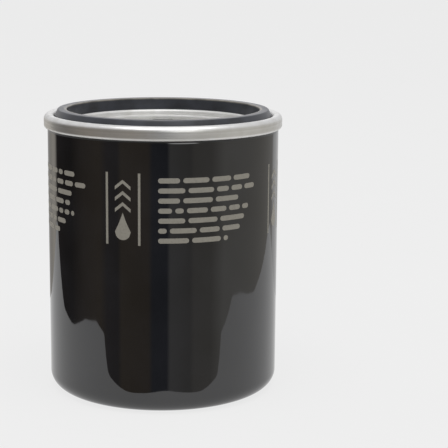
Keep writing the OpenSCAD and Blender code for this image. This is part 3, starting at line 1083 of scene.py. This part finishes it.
@dataclass
class Gasket:
    """The sealing gasket in the lid's channel, tapered outside above the seam."""

    gauge: Gauge
    inner: float = 30.9
    taper: float = 0.9
    low_ease: float = 0.35
    high_ease: float = 0.5
    shoulder: float = 0.4
    shoulder_ease: float = 0.6
    parting_half: float = 0.15
    parting_depth: float = 0.05

    def build(self) -> None:
        """Makes the gasket, with a faint parting line round its outside."""
        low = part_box("sealing_gasket")[0][2] / MM
        top, outer = self.gauge.gasket_top, self.gauge.gasket_radius
        middle = (low + top) / 2
        ring = lathe("gasket_ring", bent_loop([
            (self.inner, low, self.low_ease), (outer, low, self.low_ease),
            (outer, middle - self.parting_half, 0), (outer - self.parting_depth, middle, 0),
            (outer, middle + self.parting_half, 0),
            (outer, self.gauge.seam_top - self.shoulder, self.shoulder_ease),
            (outer - self.taper, top, self.high_ease),
            (self.inner, top, self.low_ease)]), GASKET_RUBBER)
        settle(ring, Body.HOUSING, "gasket_rubber", "sealing_gasket")


@dataclass
class BasePlate:
    """The thick base plate, with its drawn collar, thread and inlet holes."""

    gauge: Gauge
    collar_radius: float = 12.0
    collar_root: float = 1.2
    thread_lead: float = 1.6
    inlets: int = 4
    inlet_width: float = 7.0
    inlet_circle: float = 20.6
    inlet_corner: float = 1.0
    pitch: float = 25.4 / 16
    thread_depth: float = 0.72
    thread_bite: float = 0.06
    collar_ease: float = 0.4
    rim_ease: float = 0.3
    punched_ease: float = 0.18
    punch_spare: float = 2.0
    support: float = 0.8

    def cutter(self) -> Any:
        """The rounded block that punches one inlet hole."""
        half = self.inlet_width / 2
        shape = bent_loop([(-half, -half, self.inlet_corner), (half, -half, self.inlet_corner),
                           (half, half, self.inlet_corner), (-half, half, self.inlet_corner)])
        count = len(shape)
        levels = (self.gauge.plate_under - self.punch_spare, self.gauge.lid_under + self.punch_spare)
        vertices = [((x + self.inlet_circle) * MM, y * MM, z * MM) for z in levels for x, y in shape]
        sides = [(i, (i + 1) % count, count + (i + 1) % count, count + i) for i in range(count)]
        caps = [tuple(range(count))[::-1], tuple(range(count, 2 * count))]
        return mesh_object("one_cutter", vertices, faces=sides + caps)

    def punch(self, plate: Any) -> Any:
        """Cuts the inlet holes out of the plate and eases their edges."""
        cutters = polish(repeat(self.cutter(), "cutters", self.inlets, ZINC_PLATE))
        cut = plate.modifiers.new("inlets", "BOOLEAN")
        cut.object = cutters
        cut.solver = "EXACT"
        ease = plate.modifiers.new("ease", "BEVEL")
        ease.width = self.punched_ease * MM
        ease.segments = 2
        ease.limit_method = "ANGLE"
        ease.angle_limit = math.radians(60)
        punched = bake(plate, plate.name)
        bpy.data.objects.remove(cutters, do_unlink=True)
        return polish(punched, crease=20.0)

    def thread(self) -> Any:
        """The helical ridge of the 3/4-16 thread, standing in from the collar's bore."""
        bore, p = self.gauge.thread_radius, self.pitch
        crest, foot = bore - self.thread_depth, bore + self.thread_bite
        ridge = [(foot, -p * 0.46), (crest, -p * 0.1), (crest, p * 0.1), (foot, p * 0.46)]
        start = self.gauge.collar_bottom + p * 0.55
        turns = (self.gauge.lid_under - self.thread_lead + 0.3 - start) / p
        return lathe("collar_thread", [(r, z + start) for r, z in ridge], ZINC_PLATE,
                     steps=round(72 * turns), turns=turns, rise=turns * p)

    def build(self) -> None:
        """Makes the plate and its thread; unbent points next to the bends keep its faces flat."""
        g = self.gauge
        plate = lathe("threaded_plate", bent_loop([
            (g.thread_radius, g.collar_bottom, self.collar_ease),
            (self.collar_radius, g.collar_bottom, self.collar_ease),
            (self.collar_radius, g.plate_under, self.collar_root),
            (self.collar_radius + 2, g.plate_under, 0),
            (g.plate_radius - self.support, g.plate_under, 0),
            (g.plate_radius, g.plate_under, self.rim_ease),
            (g.plate_radius, g.lid_under, self.rim_ease),
            (g.plate_radius - self.support, g.lid_under, 0),
            (g.thread_radius + self.thread_lead + 0.5, g.lid_under, 0),
            (g.thread_radius, g.lid_under, self.thread_lead)]), ZINC_PLATE, steps=192)
        settle(self.punch(plate), Body.HOUSING, "plate_steel", "base_plate")
        settle(self.thread(), Body.HOUSING, "plate_steel")


@dataclass
class Diaphragm:
    """The drain-back diaphragm: the neck and web that flex, and the lip that opens."""

    def build(self, frame: dict) -> None:
        """Dresses the diaphragm's CAD nodes."""
        for node in ("drainback_valve", "drainback_lip"):
            dress_node(frame, node, VALVE_RUBBER)


def pleat_tree() -> Any:
    """The tree that folds a strip into pleats round the axis.

    The strip's radius swings between the two ends of the pleats, and its angle moves on only in the
    folds, so that the flanks are radial and the folds are round.

    Returns:
        The tree.
    """
    tree, entry, leave = new_tree("pleats", [
        ("Pleats", "NodeSocketInt"), ("Points per pleat", "NodeSocketInt"), ("Inner", "NodeSocketFloat"),
        ("Outer", "NodeSocketFloat"), ("Low", "NodeSocketFloat"), ("High", "NodeSocketFloat"),
        ("Material", "NodeSocketMaterial")])
    ins = entry.outputs
    columns = calc(tree, "ADD", calc(tree, "MULTIPLY", ins["Pleats"], ins["Points per pleat"]), 1.0)
    grid = add(tree, "GeometryNodeMeshGrid", {"Vertices X": columns},
               {"Size X": 1.0, "Size Y": 1.0, "Vertices Y": 9})
    place = add(tree, "ShaderNodeSeparateXYZ", {0: add(tree, "GeometryNodeInputPosition").outputs[0]})
    pleat = calc(tree, "MULTIPLY", calc(tree, "ADD", place.outputs["X"], 0.5), ins["Pleats"])
    squareness = 2.2
    swing = calc(tree, "SINE", calc(tree, "MULTIPLY", pleat, math.tau))
    pressed = calc(tree, "TANH", calc(tree, "MULTIPLY", swing, squareness))
    square = calc(tree, "DIVIDE", pressed, math.tanh(squareness))
    middle = calc(tree, "MULTIPLY", calc(tree, "ADD", ins["Outer"], ins["Inner"]), 0.5)
    reach = calc(tree, "MULTIPLY", calc(tree, "SUBTRACT", ins["Outer"], ins["Inner"]), 0.5)
    radius = calc(tree, "ADD", middle, calc(tree, "MULTIPLY", square, reach))
    ease = calc(tree, "SINE", calc(tree, "MULTIPLY", pleat, 2 * math.tau))
    stepped = calc(tree, "SUBTRACT", calc(tree, "SUBTRACT", pleat, 0.25),
                   calc(tree, "MULTIPLY", ease, 1 / (2 * math.tau)))
    angle = calc(tree, "MULTIPLY", calc(tree, "DIVIDE", stepped, ins["Pleats"]), math.tau)
    rise = calc(tree, "MULTIPLY", calc(tree, "ADD", place.outputs["Y"], 0.5),
                calc(tree, "SUBTRACT", ins["High"], ins["Low"]))
    spot = add(tree, "ShaderNodeCombineXYZ", {
        "X": calc(tree, "MULTIPLY", radius, calc(tree, "COSINE", angle)),
        "Y": calc(tree, "MULTIPLY", radius, calc(tree, "SINE", angle)),
        "Z": calc(tree, "ADD", ins["Low"], rise)})
    moved = add(tree, "GeometryNodeSetPosition",
                {"Geometry": grid.outputs["Mesh"], "Position": spot.outputs[0]})
    merged = add(tree, "GeometryNodeMergeByDistance", {"Geometry": moved.outputs[0]}, {"Distance": 1e-7})
    close_tree(tree, entry, leave, merged.outputs[0])
    return tree


@dataclass
class Element:
    """The filter element: pleated paper, adhesive beds, end caps, centre tube and seam clip."""

    pleats: int = 56
    inner: float = 16.4
    outer: float = 31.7
    paper: float = 0.5
    pleat_points: int = 20

    def build(self, frame: dict) -> None:
        """Folds the paper and dresses the other pieces' CAD nodes."""
        low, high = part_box("pleated_media")
        strip = grow(mesh_object("paper_strip", [(0, 0, 0)]), pleat_tree(), "folded_paper", {
            "Pleats": self.pleats, "Points per pleat": self.pleat_points,
            "Inner": self.inner * MM, "Outer": self.outer * MM,
            "Low": low[2], "High": high[2], "Material": PAPER.material()})
        body = strip.modifiers.new("paper", "SOLIDIFY")
        body.thickness = self.paper * MM
        body.offset = 0.0
        settle(polish(bake(strip, "folded_paper"), crease=60.0), Body.HOUSING, "filter_paper",
               "pleated_media")
        for node, finish in {
            "upper_end_cap": CAP_STEEL, "lower_end_cap": CAP_STEEL, "media_seam_clip": CAP_STEEL,
            "centre_tube": TUBE_STEEL, "upper_potting": PLASTISOL, "lower_potting": PLASTISOL,
        }.items():
            dress_node(frame, node, finish)


@dataclass
class BypassValve:
    """The overpressure valve: seat, cage, poppet, seal, stem and spring."""

    coil_radius: float = 5.2
    wire: float = 1.2
    turns: float = 5.8
    end_turns: float = 0.9
    turn_steps: int = 48
    lift: float = 3.0

    def coil(self) -> None:
        """Winds the spring, with closed end turns."""
        low, high = (corner[2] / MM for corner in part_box("bypass_spring"))
        wire = arc((self.coil_radius, low + self.wire / 2), self.wire / 2, 0, 345, step=24)
        share = self.end_turns / self.turns
        spring = lathe("bypass_coil", wire, SPRING_STEEL, steps=round(self.turn_steps * self.turns),
                       turns=self.turns, rise=high - low - self.wire, flat_share=share,
                       flat_rise=self.wire / 2 / share)
        settle(spring, Body.HOUSING, "spring_steel", "bypass_spring")
        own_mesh(spring)

    def build(self, frame: dict) -> None:
        """Winds the spring and dresses the valve's other pieces."""
        self.coil()
        for node in ("bypass_seat", "bypass_cage", "bypass_poppet", "bypass_stem"):
            dress_node(frame, node, PASSIVATED)
        dress_node(frame, "bypass_seal", VALVE_RUBBER)


# ---------------------------------------------------------------------------
# Studio
# ---------------------------------------------------------------------------


@dataclass
class Studio:
    """Lit pale floor, dim surround, overhead softbox and camera.

    Corners of the sheet are (x, y, bend radius), from its back left corner and round its front.
    """

    lens: float = 114.6
    sensor: float = 36.0
    eye: tuple[float, float, float] = (-3.28, -456.65, 141.65)
    pitch: float = 11.02
    yaw: float = 2.89
    roll: float = 0.49
    softbox_power: float = 9.0
    softbox_size: Point = (1100.0, 700.0)
    softbox_place: Corner = (50.0, -350.0, 1300.0)
    softbox_tilt: float = -14.0
    even: float = 0.6
    room: float = 1.1
    ceiling: str = "#d8d8da"
    ceiling_lean: float = 0.4
    ceiling_span: Point = (0.2, 0.6)
    ground: str = "#c4c3c0"
    ground_span: Point = (-0.38, -0.6)
    floor_half: float = 20000.0
    floor_level: float = -0.4
    sheet_level: float = -0.1
    sheet: tuple[Corner, ...] = (
        (-246, 190, 0), (-252, 172, 20), (-134, 36, 25), (-121, -2, 20), (-131, -38, 10),
        (-122, -66, 12), (-98, -75, 10), (-50, -54, 25), (-24, -53, 12), (1, -62.5, 14),
        (24, -53, 14), (46, -54, 20), (96, -79, 10), (162, -74, 10), (172, -48, 10), (172, 8, 20),
        (240, 150, 20), (240, 190, 0), (90, 112, 30), (-90, 112, 30))
    strips: tuple[tuple[float, str], ...] = (
        (-180, "#a0a0a2"), (180, "#d0d0d0"), (-157, "#a29f9a"), (-150, "#b2aea6"), (-141, "#dcd6cc"),
        (-136, "#dcd6cc"), (-131, "#3a3634"), (-104, "#38342f"),
        (-86, "#5f564b"), (-66, "#6d6252"), (-58, "#5a5553"), (-46, "#565250"), (-42, "#72685a"),
        (-15, "#6b6155"), (-11, "#4b4e55"), (3, "#484b52"), (6, "#8b8a88"), (26, "#7e7c78"),
        (30, "#8f8c86"), (48, "#918e87"), (62, "#b6b4ae"), (118, "#aeaba4"), (139, "#aaa8a4"),
        (142, "#d8d8d8"))
    windows: tuple[tuple[float, float, float, float], ...] = ((20, 24, 16, 2.0), (180, 20, 16, 0.3))

    def camera(self) -> None:
        """Places the camera a little above the rim and looking slightly to the right."""
        p, y, r = (math.radians(a) for a in (self.pitch, self.yaw, self.roll))
        ahead = Vector((math.sin(y) * math.cos(p), math.cos(y) * math.cos(p), -math.sin(p)))
        side = Vector((math.cos(y), -math.sin(y), 0))
        top = side.cross(ahead)
        right = side * math.cos(r) + top * math.sin(r)
        up = top * math.cos(r) - side * math.sin(r)
        data = bpy.data.cameras.new("camera")
        data.lens, data.sensor_width = self.lens, self.sensor
        data.clip_start, data.clip_end = 0.01, 60.0
        eye = bpy.data.objects.new("camera", data)
        turn = Matrix((right, up, -ahead)).transposed().to_4x4()
        eye.matrix_world = Matrix.Translation(Vector(self.eye) * MM) @ turn
        bpy.context.scene.collection.objects.link(eye)
        bpy.context.scene.camera = eye

    def floor(self) -> None:
        """Lays the wide floor, and the torn-edged sheet on it that the filter's gloss mirrors."""
        wide = self.floor_half
        square = [(-wide, -wide), (wide, -wide), (wide, wide), (-wide, wide)]
        torn = bent_loop(self.sheet)
        for name, outline, z in (("floor", square, self.floor_level),
                                 ("floor_sheet", torn, self.sheet_level)):
            plane = mesh_object(name, [(x * MM, y * MM, z * MM) for x, y in outline],
                                faces=[tuple(range(len(outline)))])
            plane.data.materials.append(OPAL.material())
            plane.visible_glossy = name != "floor"

    def softbox(self) -> None:
        """Hangs a softbox overhead, a little to the front."""
        light = bpy.data.lights.new("overhead_softbox", "AREA")
        light.shape = "RECTANGLE"
        light.size, light.size_y = (side * MM for side in self.softbox_size)
        light.energy = self.softbox_power
        lamp = bpy.data.objects.new("overhead_softbox", light)
        lamp.location = Vector(self.softbox_place) * MM
        lamp.rotation_euler = (math.radians(self.softbox_tilt), 0, 0)
        bpy.context.scene.collection.objects.link(lamp)

    def pane(self, tree: bpy.types.NodeTree, way: Any, under: Any, window: Sequence[float]) -> Any:
        """Adds a round, soft-edged bright window to the room.

        Args:
            tree: The world's node tree.
            way: Socket with the direction looked in.
            under: Socket with the room's colour.
            window: Compass angle, height above the horizon and half width in degrees, and strength.

        Returns:
            Socket with the room's colour and the window on it.
        """
        side, rise, half, strength = window
        side, rise, half = math.radians(side), math.radians(rise), math.radians(half)
        aim = (math.sin(side) * math.cos(rise), -math.cos(side) * math.cos(rise), math.sin(rise))
        near = add(tree, "ShaderNodeVectorMath", {0: way}, {1: aim}, operation="DOT_PRODUCT")
        inside = spread(tree, near.outputs["Value"], 0, strength, math.cos(half), math.cos(half * 0.8))
        lit = add(tree, "ShaderNodeMix", {6: under, 7: inside}, {0: 1.0}, data_type="RGBA",
                  blend_type="ADD")
        return lit.outputs[2]

    def surround(self) -> None:
        """Lights the scene evenly, and gives gloss a dim room with upright strips to mirror.

        Each strip's angle is its direction in degrees, from the front (-Y) towards the right (+X).
        Only gloss sees them. Above them the room brightens to its ceiling, sooner at the back than
        at the front, and below them to its ground.
        """
        world = bpy.data.worlds.new("surround")
        bpy.context.scene.world = world
        world.use_nodes = True
        tree = world.node_tree
        tree.nodes.clear()
        way = add(tree, "ShaderNodeTexCoord").outputs["Generated"]
        axis = add(tree, "ShaderNodeSeparateXYZ", {0: way}).outputs
        compass = calc(tree, "ARCTAN2", axis["X"], calc(tree, "MULTIPLY", axis["Y"], -1.0))
        turn = calc(tree, "ADD", calc(tree, "DIVIDE", compass, math.tau), 0.5)
        strips = add(tree, "ShaderNodeValToRGB", {0: turn})
        ramp = strips.color_ramp
        for k, (angle, colour) in enumerate(self.strips):
            spot = angle / 360 + 0.5
            stop = ramp.elements[k] if k < 2 else ramp.elements.new(spot)
            stop.position = spot
            stop.color = linear(colour)
        tilted = calc(tree, "ADD", axis["Z"], calc(tree, "MULTIPLY", axis["Y"], self.ceiling_lean))
        high = spread(tree, tilted, 0, 1, *self.ceiling_span)
        low = spread(tree, axis["Z"], 0, 1, *self.ground_span)
        roofed = blend(tree, high, strips.outputs["Color"], self.ceiling)
        glare = blend(tree, low, roofed, self.ground)
        for window in self.windows:
            glare = self.pane(tree, way, glare, window)
        room = add(tree, "ShaderNodeBackground", {0: glare}, {1: self.room})
        even = add(tree, "ShaderNodeBackground", values={"Color": (1, 1, 1, 1), "Strength": self.even})
        ray = add(tree, "ShaderNodeLightPath").outputs["Is Glossy Ray"]
        mix = add(tree, "ShaderNodeMixShader", {0: ray, 1: even.outputs[0], 2: room.outputs[0]})
        add(tree, "ShaderNodeOutputWorld", {0: mix.outputs[0]})

    def build(self) -> None:
        """Sets up the whole studio."""
        self.camera()
        self.floor()
        self.softbox()
        self.surround()
        bpy.context.scene.view_settings.view_transform = "Standard"


def main() -> None:
    """Builds the filter round its frame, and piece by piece."""
    logging.basicConfig(level=logging.INFO, format="%(name)s %(message)s")
    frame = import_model()
    Studio().build()
    gauge = Gauge.read(frame)
    seam = Seam(gauge)
    Can(gauge, seam).build()
    CanPrint(gauge).build()
    SeamingLid(gauge, seam).build()
    Gasket(gauge).build()
    BasePlate(gauge).build()
    Diaphragm().build(frame)
    Element().build(frame)
    BypassValve().build(frame)
    dress_node(frame, "seam_sealant", COMPOUND)
    dress_node(frame, "support_spring", SPRING_STEEL)


if __name__ == "__main__":
    main()
